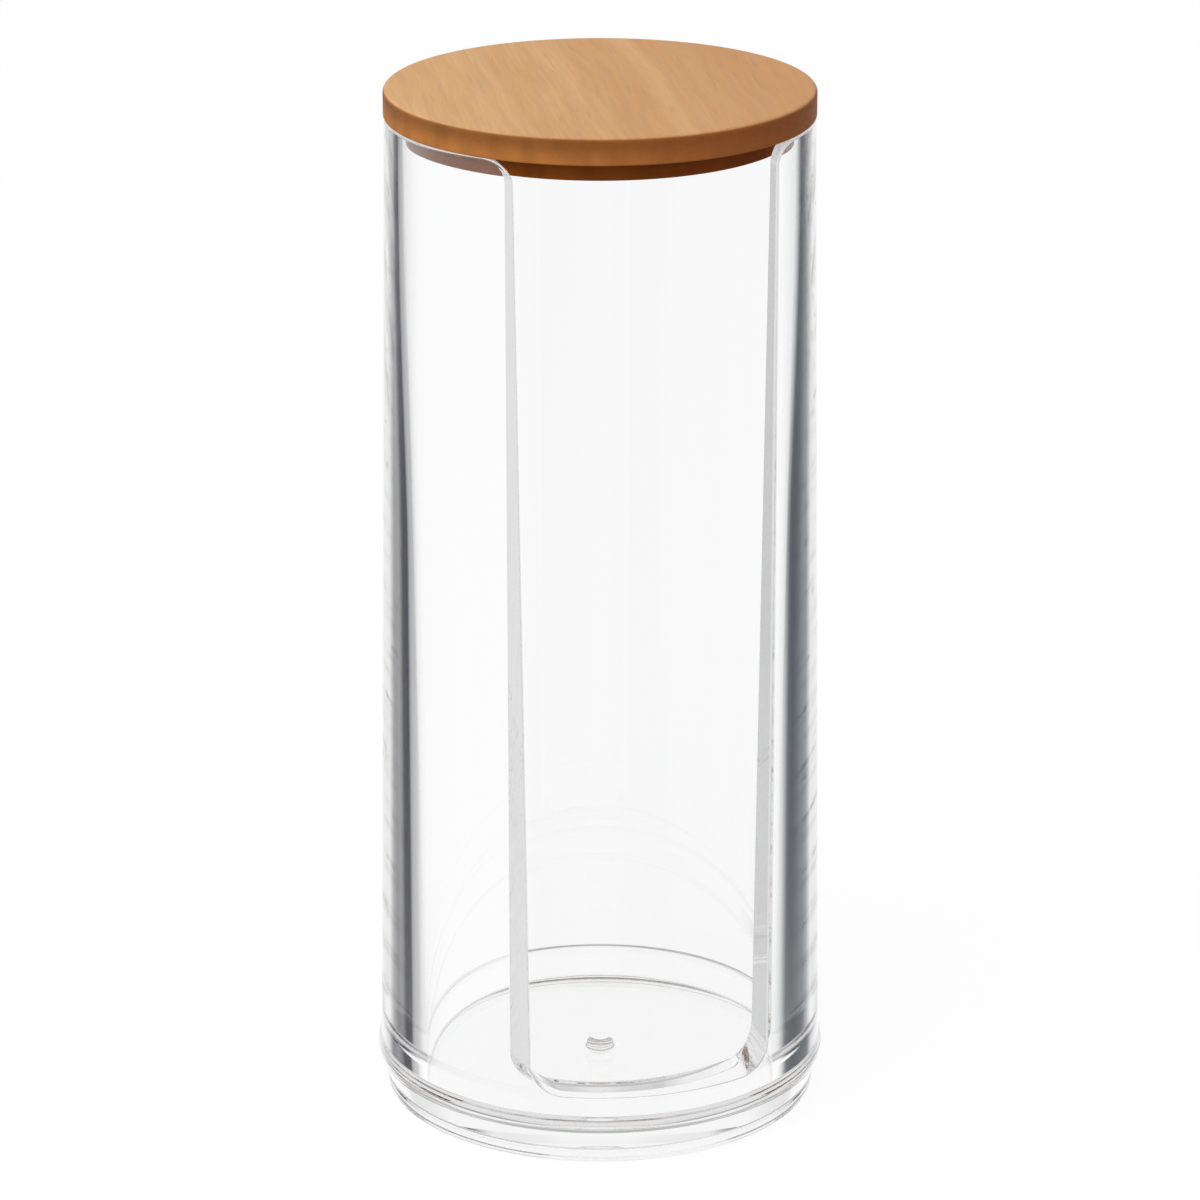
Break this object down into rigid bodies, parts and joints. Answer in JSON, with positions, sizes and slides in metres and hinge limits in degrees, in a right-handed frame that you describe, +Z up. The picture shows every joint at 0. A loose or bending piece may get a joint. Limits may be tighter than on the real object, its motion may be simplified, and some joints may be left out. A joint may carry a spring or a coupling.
{
  "type": "cotton pad holder",
  "caption": "Clear upright cotton pad holder: tapered cylinder with a full-height front slot, low sill and foot ring, closed by a wooden disc lid whose plug drops into the mouth.",
  "frame": {"origin": "middle of the foot ring, on the surface that the holder stands on", "axes": "+Z up along the container's axis; the front slot faces -Y; +X to the right seen from the front"},
  "size_m": [0.0769, 0.077, 0.176],
  "materials": {
    "clear_plastic": "clear, high gloss",
    "lid_wood": "satin lacquer, fine straight grain",
    "plug_wood": "plain, fine straight grain"
  },
  "bodies": {
    "container": {"container": "clear_plastic"},
    "lid": {"lid_disc": "lid_wood", "lid_plug": "plug_wood"}
  },
  "joints": [
    {"name": "lid_lift", "type": "slide", "parent": "container", "child": "lid", "axis": [0, 0, 1], "range_m": [0, 0.06]}
  ]
}
